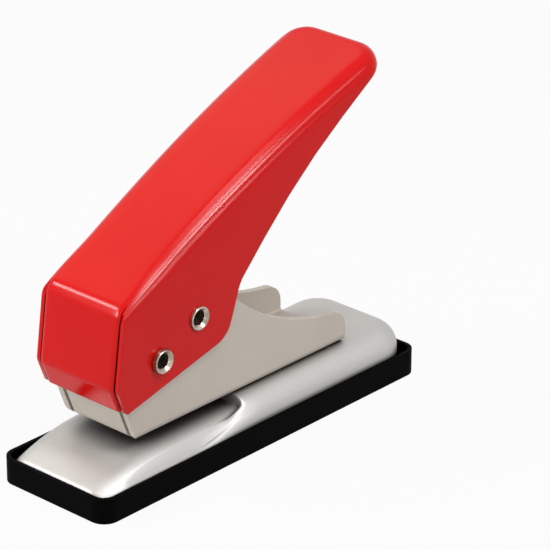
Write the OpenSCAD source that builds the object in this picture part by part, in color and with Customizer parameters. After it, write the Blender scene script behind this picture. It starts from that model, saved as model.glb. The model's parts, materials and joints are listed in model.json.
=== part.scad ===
// Single hole punch: pressing the lever handle drives one punch pin through a folded frame into a
// die in the base, and the chips fall into a tray that pulls off.
// Front (paper side) is -X, rear is +X, up is +Z. The origin is the middle of the tray's underside.

/* [Chip tray] */
// Length of the tray
tray_l = 110; // [106:1:118]
// Width of the tray
tray_w = 34.6; // [33.6:0.2:38]
// Height of the tray's rim
tray_h = 6.4; // [5:0.2:6.8]
// Thickness of the tray's walls
tray_wall = 1; // [0.8:0.1:1.4]
// Thickness of the tray's floor
tray_floor = 1.2; // [0.8:0.1:2]
// Outside radius of the tray's corners, seen from above
tray_r = 4; // [3:0.5:5]
// Gap between the base and the tray's walls, on each side
tray_gap = 0.2; // [0.15:0.05:0.4]

/* [Base] */
// Thickness of the base's sheet
base_t = 1.2; // [0.9:0.1:1.4]
// Height of the raised rear part above the table
plateau_z = 13.6; // [12.6:0.2:15]
// Height at which the base's rounded flanks turn upright
flank_z = 7.4; // [7:0.1:8]
// Corner radius of the rear end, seen from above
base_rear_r = 9; // [8:0.5:11]
// Corner radius of the front end, seen from above
base_front_r = 5; // [4.6:0.2:7]
// Place of the paper stop, the step up from the throat
step_x = -5.2; // [-6.2:0.5:-3.2]
// Gap between the throat and the frame, where the paper goes in
throat_gap = 2.5; // [2:0.1:2.8]
// Radius of the throat's rounded flanks
throat_flank_r = 7; // [6:0.5:9]
// Place where the throat starts to slope down to the front
slope_x = -30; // [-33:1:-28]
// Radius of the front slope
slope_r = 60; // [56:1:70]
// Radius of the rounded front edge
lip_r = 2.4; // [2:0.2:3]

/* [Frame] */
// Width over the frame's side walls
frame_w = 23.2; // [22.4:0.2:23.6]
// Thickness of the frame's sheet
frame_t = 1.8; // [1.2:0.1:1.9]
// Outside radius of the frame's bends
frame_bend_r = 2.4; // [2:0.2:3]
// Place of the frame's front lower edge
frame_front_x = -38.2; // [-38.6:0.1:-37.4]
// Place of the frame's rear end
frame_rear_x = 33.9; // [31:0.5:38]
// Height of the rear end above the frame's underside
frame_tail_h = 8.7; // [7.5:0.1:9.5]
// Height of the walls under the handle, above the frame's underside
frame_wall_h = 31; // [29.5:0.5:32]
// Height of the front flap above the frame's underside
frame_flap_h = 13.6; // [12:0.2:14]
// Width of the front flap
frame_flap_w = 17.3; // [16:0.1:17.8]
// Lean of the front flap and the walls' front edges, forward from upright
frame_lean = 21.2; // [20:0.2:21.8]
// Radius of the scoop cut in the side walls
scoop_r = 60.8; // [57:0.2:65]

/* [Handle] */
// Gap between the handle's side walls and the frame's, on each side
handle_gap = 0.6; // [0.5:0.1:1.2]
// Thickness of the handle's sheet
handle_t = 1.1; // [0.9:0.1:1.2]
// Outside radius of the bends along the handle's top
handle_bend_r = 3; // [2.4:0.2:4]
// Radius of the arch along the handle's top
handle_arch_r = 430; // [400:10:520]
// Slope of the top at the front fold
handle_slope = 31.5; // [30:0.5:33]
// Corner radius of the rear end, seen from above
handle_rear_r = 7; // [5:0.5:9]
// Distance from the pivot back to the rear end
handle_reach = 76.2; // [73:0.2:79]
// Gap beside the front flap, at each side wall
handle_seam = 0.4; // [0.3:0.1:0.8]

/* [Mechanism] */
// Distance from the frame's front lower edge back to the pivot
pivot_back = 6.1; // [5.7:0.1:6.5]
// Height of the pivot above the frame's underside
pivot_up = 19.3; // [19:0.1:19.8]
// Distance from the pivot to the drive rivet
drive_r = 14.15; // [13.8:0.05:14.6]
// Angle of the drive rivet above the level of the pivot, at rest
drive_deg = 26.7; // [25.6:0.1:27.6]
// Angle through which the handle is pressed
press_deg = 25; // [22:0.5:26]
// Diameter of the hollow rivets' barrels
rivet_d = 4.6; // [4.2:0.1:4.8]
// Diameter of the hollow rivets' bores
rivet_bore_d = 3.6; // [3:0.1:3.7]
// Diameter of the hollow rivets' rolled heads
rivet_head_d = 6.2; // [5.8:0.1:6.8]
// Outside diameter of the spacer sleeves
sleeve_d = 5.8; // [5.4:0.1:6.2]
// Diameter of the punch pin, and so of the hole
punch_d = 6; // [5:0.1:6.4]
// Wire diameter of the return spring
wire_d = 0.8; // [0.6:0.05:0.9]
// Turns of the return spring
spring_turns = 4.5; // [3.5:0.5:5]
// Radial clearance of running shafts
run_gap = 0.05; // [0.03:0.01:0.08]
// Clearance between pieces that pass each other
pass_gap = 0.3; // [0.25:0.05:0.4]

/* [Hidden] */
$fn = 64;

// Colours as the photograph shows them
black_plastic = [0.04, 0.045, 0.04];
base_grey = [0.8, 0.78, 0.75];
frame_grey = [0.7, 0.67, 0.63];
handle_red = [0.78, 0.11, 0.11];
nickel = [0.75, 0.74, 0.72];
tool_steel = [0.45, 0.46, 0.48];

// Past-the-edge margin of cuts
past = 1;

// Base: it stands inside the tray, on the tray's floor
base_half_l = tray_l / 2 - tray_wall - tray_gap;
base_half_w = tray_w / 2 - tray_wall - tray_gap;
base_foot_z = tray_floor;
plateau_edge_r = plateau_z - flank_z;
throat_z = plateau_z - throat_gap;
throat_flank_y = base_half_w - sqrt(throat_flank_r ^ 2 - (throat_flank_r - throat_z + flank_z) ^ 2);
step_blend = 2.5;
step_run = 11;
lip_x = lip_r - base_half_l;
lip_cross = 0.02;
lip_z = throat_z - slope_r + sqrt((slope_r - lip_r + lip_cross) ^ 2 - (slope_x - lip_x) ^ 2);

// Frame: its underside lies on the raised part of the base
frame_z = plateau_z;
frame_floor_z = frame_z + frame_t;
frame_in_w = frame_w - 2 * frame_t;
frame_tail_r = 5;
tail_slope = 7.2;
tail = [frame_rear_x, frame_z + frame_tail_h];
scoop_end = tail + 5.5 * [-cos(tail_slope), sin(tail_slope)];
scoop = scoop_end + scoop_r * [sin(tail_slope), cos(tail_slope)];

// Handle: its outline is set out from the pivot
pivot = [frame_front_x + pivot_back, frame_z + pivot_up];
handle_in_w = frame_w + 2 * handle_gap;
handle_w = handle_in_w + 2 * handle_t;
flap_w = handle_in_w - 2 * handle_seam;
fold_top = pivot + [-11.4, 15.2];
fold_mid = pivot + [-14.3, -3.4];
flap_end = pivot + [-11.95, -9.5];
fold_r = 3.5;
fold_mid_r = 3;
arch_c = fold_top + handle_arch_r * [sin(handle_slope), -cos(handle_slope)];
arch_front = 90 + handle_slope;
arch_rear = acos((pivot.x + handle_reach - handle_rear_r - arch_c.x) / handle_arch_r);
fold_back_l = 1.8;
arch_fold = arch_front - fold_back_l / handle_arch_r * 180 / PI;
wall_depth = 75;
wall_front = pivot + [-10.9, -9.9];
knee = pivot + [22.1, -1.7];
knee_r = 6.5;
hollow = pivot + [26.4, 10.9];
hollow_r = 8;
taper = pivot + [46.5, 32.4];
taper_r = 160;
taper_slope = 34.5;

// Mechanism: the drive rivet sinks on an arc about the pivot, and the pin stands under its path
drive = pivot + drive_r * [cos(drive_deg), sin(drive_deg)];
drive_low = pivot + drive_r * [cos(drive_deg - press_deg), sin(drive_deg - press_deg)];
punch_x = (drive.x + drive_low.x) / 2;
punch_tip_z = frame_z + 0.4;
punch_top_z = drive.y - sleeve_d / 2 - 0.1;
shear_gap = 0.06;
pivot_head_h = 1.3;
drive_head_h = 0.8;
head_gap = 0.15;

// Upper guide of the pin, a bracket over the spring
guide_t = 1.2;
guide_w = 13;
guide_top_z = drive_low.y - sleeve_d / 2 - 1;
guide_half_l = 7.4;
guide_foot_l = 5.6;
guide_bend_r = 1.6;
guide_rivet_d = 2.4;
guide_rivet_x = guide_half_l + guide_foot_l / 2 + 0.4;

// Spring seat on the pin: a washer under a clip in a groove
clip_t = 0.8;
washer_t = 0.8;
groove_depth = 0.7;
groove_d = punch_d - 2 * groove_depth;
clip_z = guide_top_z - guide_t - clip_t - pass_gap;
washer_z = clip_z - washer_t;
washer_rim = 2.5;
washer_d = punch_d + 2 * washer_rim;
clip_rim = 2;
clip_grip = 0.3;
coil_r = punch_d / 2 + wire_d / 2 + 0.5;

// Die under the throat
die_t = 2;
die_l = 18;
die_w = 11;
die_rivet_d = 2.4;
die_rivet_x = die_l / 2 - 2.4;
die_z = throat_z - base_t - die_t;

// Rivets through the frame's floor and the base
frame_rivet_d = 4;
frame_rivet_xs = [5, 24];

// Points of outlines: corners are [x, y] or [x, y, radius]
// Largest gap between a rounded corner and its chords
chord_gap = 0.01;
function spot(v) = [v.x, v.y];
function corner_r(v) = len(v) > 2 ? v.z : 0;
function unit(v) = v / norm(v);
function side(a, b) = a.x * b.y - a.y * b.x;
function left(a, b) = [-unit(b - a).y, unit(b - a).x];
function reversed(list) = [for (i = [len(list) - 1:-1:0]) list[i]];

// Arc that rounds the corner v between its neighbours p and n
function corner(p, v, n, r) =
    let (a = unit(p - v), b = unit(n - v), half = acos(a * b) / 2)
    r == 0 ? [v] :
    let (c = v + unit(a + b) * r / sin(half),
         from = v + a * r / tan(half) - c,
         sweep = (180 - 2 * half) * sign(side(a, b)) * -1,
         steps = ceil(abs(sweep) / (2 * acos(1 - chord_gap / r))),
         start = atan2(from.y, from.x))
    [for (i = [0:steps]) c + r * [cos(start + sweep * i / steps), sin(start + sweep * i / steps)]];

// Closed outline with rounded corners
function outline(pts) = let (n = len(pts)) [for (i = [0:n - 1])
    each corner(spot(pts[(i + n - 1) % n]), spot(pts[i]), spot(pts[(i + 1) % n]), corner_r(pts[i]))];

// Open path with rounded corners
function path(pts) = let (n = len(pts)) [for (i = [0:n - 1])
    each i == 0 || i == n - 1 ? [spot(pts[i])]
        : corner(spot(pts[i - 1]), spot(pts[i]), spot(pts[i + 1]), corner_r(pts[i]))];

// The same path moved by t to its left, as the other face of a bent sheet
function moved(pts, t) = let (n = len(pts)) [for (i = [0:n - 1])
    let (a = left(spot(pts[max(i - 1, 0)]), spot(pts[max(i, 1)])),
         b = left(spot(pts[min(i, n - 2)]), spot(pts[min(i + 1, n - 1)])),
         r = corner_r(pts[i]) - t * sign(side(a, b)))
    concat(spot(pts[i]) + (a + b) * t / (1 + a * b), [max(r, 0)])];

// Section of a bent sheet whose outer face follows the path
function bent_sheet(pts, t) = concat(path(pts), reversed(path(moved(pts, t))));

// Extrusions: a side view [x, z] across the punch, and a cross section [y, z] along it
module across(w) { rotate([90, 0, 0]) linear_extrude(w, center = true) children(); }
module along(from, to) { translate([from, 0, 0]) rotate([90, 0, 90]) linear_extrude(to - from) children(); }
// Sweep of a section [radius, y] about an axis across the punch, in steps of half a degree
module turned(centre, from, to) {
    translate([centre.x, 0, centre.y]) rotate([90, 0, 0]) rotate([0, 0, from])
        rotate_extrude(angle = to - from, $fn = 720) children();
}
module both_sides() { for (s = [0, 1]) mirror([0, s, 0]) children(); }
module cross_bore(at, d, w) {
    translate([at.x, 0, at.y]) rotate([90, 0, 0]) cylinder(d = d, h = w, center = true);
}

// Rectangle with rounded corners
module rounded_rect(l, w, r) {
    square([l - 2 * r, w], center = true);
    square([l, w - 2 * r], center = true);
    for (x = [-1, 1], y = [-1, 1]) translate([x * (l / 2 - r), y * (w / 2 - r)]) circle(r);
}

// Section from an axis out to r, whose outer top corner is rounded
module rim_section(r, bottom, top, edge_r) {
    translate([0, bottom]) square([r, top - edge_r - bottom]);
    translate([0, bottom]) square([r - edge_r, top - bottom]);
    translate([r - edge_r, top - edge_r]) intersection() {
        circle(edge_r);
        square(edge_r);
    }
}

// Solid end with two rounded plan corners: x runs out to r, the width is w
module rounded_end(w, r, bottom, top, edge_r) {
    across(w - 2 * r) rim_section(r, bottom, top, edge_r);
    both_sides() translate([0, w / 2 - r, 0]) rotate_extrude(angle = 90) rim_section(r, bottom, top, edge_r);
}

// Solid rivet: shank from z = 0 up, with a domed head on top
module domed_rivet(d, grip, head_d, head_h) {
    dome_r = (head_d ^ 2 / 4 + head_h ^ 2) / (2 * head_h);
    cylinder(d = d, h = grip);
    translate([0, 0, grip]) rotate_extrude() intersection() {
        translate([0, head_h - dome_r]) circle(dome_r);
        square([head_d / 2, head_h]);
    }
}

// Hollow rivet across the punch, with a rolled head at each end
module hollow_rivet(grip_w, head_h) {
    bead_r = (rivet_head_d - rivet_bore_d) / 4;
    bead_x = (rivet_head_d + rivet_bore_d) / 4;
    rotate([90, 0, 0]) difference() {
        union() {
            cylinder(d = rivet_d, h = grip_w, center = true);
            for (s = [0, 1]) mirror([0, 0, s]) translate([0, 0, grip_w / 2]) rotate_extrude() {
                square([rivet_head_d / 2, head_h - bead_r]);
                intersection() {
                    translate([bead_x, head_h - bead_r]) circle(bead_r);
                    square([rivet_head_d, head_h + past]);
                }
            }
        }
        cylinder(d = rivet_bore_d, h = grip_w + 2 * head_h + past, center = true);
    }
}

module spacer_sleeve(w) {
    rotate([90, 0, 0]) difference() {
        cylinder(d = sleeve_d, h = w, center = true);
        cylinder(d = rivet_d, h = w + past, center = true);
    }
}

// Chip tray: shallow shell that the base stands in
module chip_tray() color(black_plastic) difference() {
    linear_extrude(tray_h) rounded_rect(tray_l, tray_w, tray_r);
    translate([0, 0, tray_floor]) linear_extrude(tray_h)
        rounded_rect(tray_l - 2 * tray_wall, tray_w - 2 * tray_wall, tray_r - tray_wall);
}

// Raised rear part of the base, drawn in by inset for the hollow side of the sheet
module plateau_form(inset, bottom) {
    w = 2 * (base_half_w - inset);
    r = base_rear_r - inset;
    top = plateau_z - inset;
    edge_r = plateau_edge_r - inset;
    rear_x = base_half_l - base_rear_r;
    translate([rear_x, 0, 0]) rounded_end(w, r, bottom, top, edge_r);
    along(step_x - step_run - past, rear_x) for (s = [0, 1]) mirror([s, 0])
        rim_section(w / 2, bottom, top, edge_r);
}

// Plan of the raised part: the paper stop runs out forward as it fades down the flanks
module plateau_plan(inset) {
    x = step_x + inset;
    y = base_half_w - inset;
    half = [[base_half_l + past, 0], [x, 0], [x, y - 0.75, step_blend], [x - step_run, y + 0.2],
            [x - step_run, y + past], [base_half_l + past, y + past]];
    for (s = [0, 1]) mirror([0, s]) polygon(outline(half));
}

// Cross section of the throat, with wide rounded flanks
module throat_section(inset, bottom) {
    half = base_half_w - inset;
    intersection() {
        translate([-half, bottom]) square([2 * half, throat_z - inset - bottom]);
        union() {
            translate([-half, bottom]) square([2 * half, flank_z - inset - bottom]);
            translate([-throat_flank_y, bottom]) square([2 * throat_flank_y, throat_z - bottom]);
            for (s = [-1, 1]) translate([s * throat_flank_y, throat_z - throat_flank_r])
                circle(throat_flank_r - inset);
        }
    }
}

// Side view that rounds the front edge off
module lip_profile(inset, bottom) {
    r = lip_r - inset;
    touch_x = lip_x - r * (slope_x - lip_x) / (slope_r - lip_r);
    translate([touch_x, bottom]) square([step_x + step_blend - touch_x, plateau_z - bottom]);
    translate([lip_x - r, bottom]) square([r, lip_z - bottom]);
    translate([lip_x, lip_z]) circle(r);
}

// Throat: level under the frame, then its section is swept down an arc to the front edge
module throat_form(inset, bottom) {
    w = 2 * (base_half_w - inset);
    l = 2 * (base_half_l - inset);
    slope_c = [slope_x, throat_z - slope_r];
    slope_end = 90 + asin((base_half_l + past + slope_x) / slope_r);
    intersection() {
        union() {
            along(slope_x, step_x + step_blend) throat_section(inset, bottom);
            turned(slope_c, 90, slope_end) translate([slope_r, 0]) rotate(-90)
                translate([0, -throat_z]) throat_section(inset, base_foot_z - 2 * past);
        }
        across(w) lip_profile(inset, bottom);
        translate([0, 0, bottom]) linear_extrude(plateau_z) rounded_rect(l, w, base_front_r - inset);
    }
}

module base_form(inset, bottom) {
    intersection() {
        plateau_form(inset, bottom);
        translate([0, 0, bottom]) linear_extrude(plateau_z) plateau_plan(inset);
    }
    throat_form(inset, bottom);
}

// Base: pressed sheet, open underneath
module base_plate() color(base_grey) difference() {
    base_form(0, base_foot_z);
    base_form(base_t, base_foot_z - past);
    translate([punch_x, 0, die_z]) cylinder(d = punch_d + 0.4, h = plateau_z);
    for (s = [-1, 1]) translate([punch_x + s * die_rivet_x, 0, die_z])
        cylinder(d = die_rivet_d, h = plateau_z);
    for (x = frame_rivet_xs) translate([x, 0, flank_z]) cylinder(d = frame_rivet_d, h = plateau_z);
}

module die_plate() color(tool_steel) translate([punch_x, 0, die_z]) difference() {
    linear_extrude(die_t) rounded_rect(die_l, die_w, 1.5);
    translate([0, 0, -past]) cylinder(d = punch_d + 2 * shear_gap, h = die_t + 2 * past);
    translate([0, 0, -past]) cylinder(d = punch_d + 1, h = past + 0.6);
    for (s = [-1, 1]) translate([s * die_rivet_x, 0, -past]) cylinder(d = die_rivet_d, h = die_t + 2 * past);
}

module die_rivets() color(nickel) for (s = [-1, 1])
    translate([punch_x + s * die_rivet_x, 0, throat_z]) mirror([0, 0, 1])
        domed_rivet(die_rivet_d, die_t + base_t, die_rivet_d + 1.8, 0.9);

// Cross section of the frame's channel, out to its walls' outside
module tub_section(w, bottom, top, r) {
    translate([-w / 2, bottom + r]) square([w, top - bottom - r]);
    translate([r - w / 2, bottom]) square([w - 2 * r, top - bottom]);
    for (s = [-1, 1]) translate([s * (w / 2 - r), bottom + r]) circle(r);
}

// Side view of the frame's walls
module frame_outline() {
    top_z = frame_z + frame_wall_h;
    flap_top = [frame_front_x - frame_flap_h * tan(frame_lean), frame_z + frame_flap_h];
    polygon(outline([[frame_front_x, frame_z, frame_bend_r], flap_top, concat(pivot + [-10.7, -1.6], 2),
                     [pivot.x - 4.4, top_z, 4], [scoop.x - 0.66 * scoop_r, top_z], scoop_end,
                     concat(tail, frame_tail_r), [frame_rear_x, frame_z]]));
}

module frame_front_flap() {
    top = [frame_front_x - frame_flap_h * tan(frame_lean), frame_z + frame_flap_h];
    across(frame_flap_w) polygon(bent_sheet([top, [frame_front_x, frame_z, frame_bend_r],
                                             [frame_front_x + 2 * frame_bend_r, frame_z]], frame_t));
}

// Arc slot in both walls for the drive rivet, centred on the pivot
module drive_slot() {
    w = rivet_d + 2 * pass_gap;
    translate([pivot.x, 0, pivot.y]) rotate([90, 0, 0]) rotate([0, 0, drive_deg - press_deg])
        rotate_extrude(angle = press_deg) translate([drive_r - w / 2, -frame_w]) square([w, 2 * frame_w]);
    for (at = [drive, drive_low]) cross_bore(at, w, 2 * frame_w);
}

module frame() color(frame_grey) difference() {
    union() {
        difference() {
            intersection() {
                along(frame_front_x - 20, frame_rear_x) difference() {
                    tub_section(frame_w, frame_z, scoop.y, frame_bend_r);
                    tub_section(frame_in_w, frame_floor_z, scoop.y + past, frame_bend_r - frame_t);
                }
                across(2 * frame_w) frame_outline();
            }
            translate([frame_front_x - 20, -frame_in_w / 2, frame_z - past])
                cube([20 + 2 * frame_bend_r, frame_in_w, frame_t + 2 * past]);
        }
        frame_front_flap();
    }
    cross_bore(scoop, 2 * scoop_r, 2 * frame_w);
    cross_bore(pivot, rivet_d, 2 * frame_w);
    drive_slot();
    translate([punch_x, 0, frame_z - past]) cylinder(d = punch_d + 2 * run_gap, h = frame_t + 2 * past);
    for (s = [-1, 1]) translate([punch_x + s * guide_rivet_x, 0, frame_z - past])
        cylinder(d = guide_rivet_d, h = frame_t + 2 * past);
    for (x = frame_rivet_xs) translate([x, 0, frame_z - past])
        cylinder(d = frame_rivet_d, h = frame_t + 2 * past);
}

// Rivets with a head on the frame's floor and a flat tail under the base's sheet
module frame_rivets() color(nickel) for (x = frame_rivet_xs) {
    translate([x, 0, frame_z - base_t]) domed_rivet(frame_rivet_d, base_t + frame_t, frame_rivet_d + 3, 1.5);
    translate([x, 0, frame_z - base_t - 0.9]) cylinder(d = frame_rivet_d + 2, h = 0.9);
}

// Upper guide: a strap bent like a hat, with a foot at each end
module guide_bracket() {
    foot_z = frame_floor_z + guide_t;
    end = guide_half_l + guide_foot_l;
    half = [[end, foot_z], [guide_half_l, foot_z, 0.4], [guide_half_l, guide_top_z, guide_bend_r]];
    strap = concat(half, [for (v = reversed(half)) [-v.x, v.y, corner_r(v)]]);
    color(tool_steel) difference() {
        translate([punch_x, 0, 0]) across(guide_w) polygon(bent_sheet(strap, guide_t));
        translate([punch_x, 0, frame_floor_z]) cylinder(d = punch_d + 2 * run_gap, h = guide_top_z);
        for (s = [-1, 1]) translate([punch_x + s * guide_rivet_x, 0, frame_z])
            cylinder(d = guide_rivet_d, h = frame_t + guide_t + past);
    }
}

module guide_rivets() color(nickel) for (s = [-1, 1]) translate([punch_x + s * guide_rivet_x, 0, frame_z])
    domed_rivet(guide_rivet_d, frame_t + guide_t, guide_rivet_d + 1.4, 0.9);

// Punch pin: its tip is hollowed so that the cut starts at two edges
module punch_pin() color(tool_steel) translate([punch_x, 0, 0]) difference() {
    translate([0, 0, punch_tip_z]) cylinder(d = punch_d, h = punch_top_z - punch_tip_z);
    translate([0, 0, clip_z]) difference() {
        cylinder(d = punch_d + past, h = clip_t);
        cylinder(d = groove_d, h = clip_t);
    }
    cross_bore([0, punch_tip_z - punch_d], 2 * punch_d + 1.2, 2 * punch_d);
}

module spring_washer() color(nickel) translate([punch_x, 0, washer_z]) difference() {
    cylinder(d = washer_d, h = washer_t);
    translate([0, 0, -past]) cylinder(d = punch_d, h = washer_t + 2 * past);
}

// Clip: an open ring that snaps into the pin's groove from the front
module retaining_clip() color(tool_steel)
    translate([punch_x, 0, clip_z]) linear_extrude(clip_t) difference() {
    circle(d = punch_d + 2 * clip_rim);
    circle(d = groove_d);
    translate([-washer_d, clip_grip - groove_d / 2]) square([washer_d, groove_d - 2 * clip_grip]);
}

// Return spring: one tube of six sides along a helix
spring_sides = 6;
spring_rings = ceil(8 * spring_turns);
spring_low = frame_floor_z + wire_d / 2;
spring_high = washer_z - wire_d / 2;
function coil_point(i) = let (a = 360 * spring_turns * i / spring_rings)
    [punch_x + coil_r * cos(a), coil_r * sin(a), spring_low + (spring_high - spring_low) * i / spring_rings];
function ring_point(i, k) = let (a = 360 * spring_turns * i / spring_rings, b = 360 * k / spring_sides)
    coil_point(i) + wire_d / 2 * [cos(a) * cos(b), sin(a) * cos(b), sin(b)];
spring_gap = min([for (i = [0:spring_rings - 8]) norm(coil_point(i + 8) - coil_point(i)) - wire_d]);
echo(spring_least_gap = spring_gap);

module return_spring() color(nickel) {
    n = spring_sides;
    last = spring_rings * n;
    polyhedron(
        [for (i = [0:spring_rings], k = [0:n - 1]) ring_point(i, k)],
        concat(
            [for (k = [1:n - 2]) [0, k, k + 1]],
            [for (i = [0:spring_rings - 1], k = [0:n - 1]) let (a = i * n + k, b = i * n + (k + 1) % n)
                each [[a, a + n, b], [b, a + n, b + n]]],
            [for (k = [1:n - 2]) [last, last + k + 1, last + k]]));
}

// Side view of the handle's walls: straight front edge, knee, rise, hollow and long taper to the rear
module handle_outline() {
    far = 1.6 * handle_reach;
    polygon(outline([wall_front, flap_end, concat(fold_mid, fold_mid_r), concat(fold_top, fold_r),
                     fold_top + far * [cos(handle_slope), sin(handle_slope)],
                     taper + far / 2 * [cos(taper_slope), sin(taper_slope)],
                     concat(taper, taper_r), concat(hollow, hollow_r), concat(knee, knee_r)]));
}

// Sweep about the axis of the handle's arch
module arch_sweep(from, to) { turned(arch_c, from, to) children(); }

// Handle's body as a solid, drawn in by inset for the inside of the sheet
module handle_form(inset) {
    w = handle_w - 2 * inset;
    edge_r = handle_bend_r - inset;
    arch_sweep(arch_rear, arch_front + 4) translate([handle_arch_r, 0]) rotate(-90)
        for (s = [0, 1]) mirror([s, 0]) rim_section(w / 2, -wall_depth, -inset, edge_r);
    translate([arch_c.x, 0, arch_c.y]) rotate([0, 90 - arch_rear, 0]) translate([0, 0, handle_arch_r])
        rounded_end(w, handle_rear_r - inset, -wall_depth, -inset, edge_r);
}

// Front flap: the top sheet folded down between the side walls, and again near its end
module handle_flap() {
    start = arch_c + handle_arch_r * [cos(arch_fold), sin(arch_fold)];
    path = [start, concat(fold_top, fold_r), concat(fold_mid, fold_mid_r), flap_end];
    across(flap_w) polygon(bent_sheet(path, handle_t));
}

module handle() color(handle_red) difference() {
    union() {
        difference() {
            intersection() {
                difference() {
                    handle_form(0);
                    handle_form(handle_t);
                }
                across(2 * handle_w) handle_outline();
            }
            arch_sweep(arch_fold, arch_front + 5) translate([handle_arch_r - handle_bend_r, -handle_in_w / 2])
                square([2 * handle_bend_r, handle_in_w]);
        }
        handle_flap();
    }
    cross_bore(pivot, rivet_d + 2 * run_gap, 2 * handle_w);
    cross_bore(drive, rivet_d, 2 * handle_w);
}

module pivot_rivet() color(nickel) translate([pivot.x, 0, pivot.y])
    hollow_rivet(handle_w + 2 * head_gap, pivot_head_h);
module pivot_sleeve() color(nickel) translate([pivot.x, 0, pivot.y]) spacer_sleeve(frame_in_w);
module drive_rivet() color(nickel) translate([drive.x, 0, drive.y]) hollow_rivet(handle_w, drive_head_h);
module drive_sleeve() color(nickel) translate([drive.x, 0, drive.y]) spacer_sleeve(frame_in_w - 2 * pass_gap);

chip_tray();
base_plate();
die_plate();
die_rivets();
frame();
frame_rivets();
guide_bracket();
guide_rivets();
punch_pin();
return_spring();
spring_washer();
retaining_clip();
handle();
pivot_rivet();
pivot_sleeve();
drive_rivet();
drive_sleeve();
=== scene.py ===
"""Looks of the single hole punch: materials, detailed pieces, floor, light and camera."""
import json
import math

import bmesh
import bpy
from mathutils import Matrix, Vector


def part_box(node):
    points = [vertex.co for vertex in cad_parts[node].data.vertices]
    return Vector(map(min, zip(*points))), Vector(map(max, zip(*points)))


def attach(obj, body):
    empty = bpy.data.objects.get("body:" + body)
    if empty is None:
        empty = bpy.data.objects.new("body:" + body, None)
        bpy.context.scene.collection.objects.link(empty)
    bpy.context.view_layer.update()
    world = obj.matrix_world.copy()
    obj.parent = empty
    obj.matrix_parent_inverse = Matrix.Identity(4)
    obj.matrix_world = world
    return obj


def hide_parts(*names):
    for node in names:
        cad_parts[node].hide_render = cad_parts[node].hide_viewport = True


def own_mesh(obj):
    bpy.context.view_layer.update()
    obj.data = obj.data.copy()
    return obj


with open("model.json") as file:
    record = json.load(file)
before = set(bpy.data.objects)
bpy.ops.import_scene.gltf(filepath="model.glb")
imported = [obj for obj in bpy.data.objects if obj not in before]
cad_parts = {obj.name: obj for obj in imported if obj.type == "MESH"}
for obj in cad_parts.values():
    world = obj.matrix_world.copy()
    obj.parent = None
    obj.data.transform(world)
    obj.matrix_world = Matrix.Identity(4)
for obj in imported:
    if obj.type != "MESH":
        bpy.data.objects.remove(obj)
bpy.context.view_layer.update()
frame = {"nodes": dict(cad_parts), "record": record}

MM = 0.001
MERGE = 0.0001 * MM

# Handle, in millimetres: close to the solid's values, with a bend that widens from the fold to the rear
PIVOT = Vector((-32.1, 32.9))
DRIVE_R = 14.15
DRIVE_DEG = 26.7
HANDLE_W = 26.6
HANDLE_T = 1.1
BEND_R = 4.1
REAR_RIM = 0.35
FRONT_BEND_R = 2.9
FRONT_BEND_RUN = 14.0
ARCH_R = 408.0
SLOPE_DEG = 31.5
REAR_R = 7.0
REACH = 76.2
SEAM = 0.4
FOLD_R = 5.5
FOLD_MID_R = 3.0
FOLD_BACK = 2.8
FOLD_TOP = PIVOT + Vector((-11.6, 15.54))
FOLD_MID = PIVOT + Vector((-14.3, -3.4))
FLAP_END = PIVOT + Vector((-11.95, -9.5))
WALL_FRONT = PIVOT + Vector((-10.9, -9.9))
KNEE = PIVOT + Vector((22.1, -1.7))
KNEE_R = 6.5
HOLLOW = PIVOT + Vector((26.4, 10.9))
HOLLOW_R = 8.0
TAPER = PIVOT + Vector((46.5, 32.4))
TAPER_R = 160.0
TAPER_DEG = 34.5
TAPER_RUN = 60.0
EDGE_ROUND = 0.28
EDGE_ROUND_FROM_DEG = 55

# Spread of the handle's walls towards the rear, on each side: the photograph's finer form
SPREAD = 1.5
SPREAD_FROM = -30.0
SPREAD_TO = 44.0
SPREAD_EASE = 20.0

# Flap's rolled side edges, and how far the walls' front edges stand back from its face
FLAP_EDGE_R = 1.6
FLAP_EDGE_ROLL = 1.0
FLAP_BLEND = 7.0
WALL_BACK = 0.5

# Base sheet, in millimetres: the values that the solid is drawn from
BASE_HALF_L = 53.8
BASE_HALF_W = 16.1
BASE_T = 1.2
BASE_FOOT_Z = 1.2
PLATEAU_Z = 13.6
FLANK_Z = 7.4
REAR_CORNER_R = 9.0
FRONT_CORNER_R = 5.0
THROAT_Z = 11.1
THROAT_FLANK_R = 7.0
THROAT_FLANK_Y = 9.93
SLOPE_X = -30.0
SLOPE_R = 60.0
LIP_R = 2.4
LIP_Z = 4.6
LIP_TOUCH = 1.51
STEP_X = -5.2
PUNCH_HOLE_R = 3.2

# Paper stop: its run on the flat, the share of it ahead of the step, and its fading out on the flanks
STEP_RUN = 0.8
STEP_AHEAD = 0.75
STEP_FADED_RUN = 24.0
STEP_FADE_FROM = 12.9
STEP_FADE_TO = 15.4

# Hollow rivets, in millimetres: barrel, rolled rim, flared mouth, bore and heights of the heads
RIVET_D = 4.6
RIM_R = 2.9
RIM_BEAD_R = 0.24
BORE_R = 1.8
MOUTH_R = 0.5
PIVOT_HEAD = 1.3
DRIVE_HEAD = 0.8

# Solid rivets, in millimetres: radius of the shanks, height of the heads, and the frame rivets' tails
SMALL_SHANK_R = 1.2
SMALL_HEAD_H = 0.9
FRAME_SHANK_R = 2.0
FRAME_HEAD_H = 1.5
FRAME_TAIL_R = 3.0
FRAME_TAIL_H = 0.9

# Return spring, in millimetres
PUNCH_X = -18.71
SPRING_LOW = 15.4
SPRING_HIGH = 26.32
WIRE_D = 0.8
COIL_R = 3.9
TURNS = 4.5

# Floor: its grey under light, the share of plain white that the eye sees, and half its side in metres
FLOOR_GREY = 0.42
FLOOR_WHITE = 0.94
FLOOR_HALF_M = 3.0

# Light: strength of the white world on the punch, and the height in millimetres that the lamps aim at
AMBIENT = 0.15
TARGET_Z = 40


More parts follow.
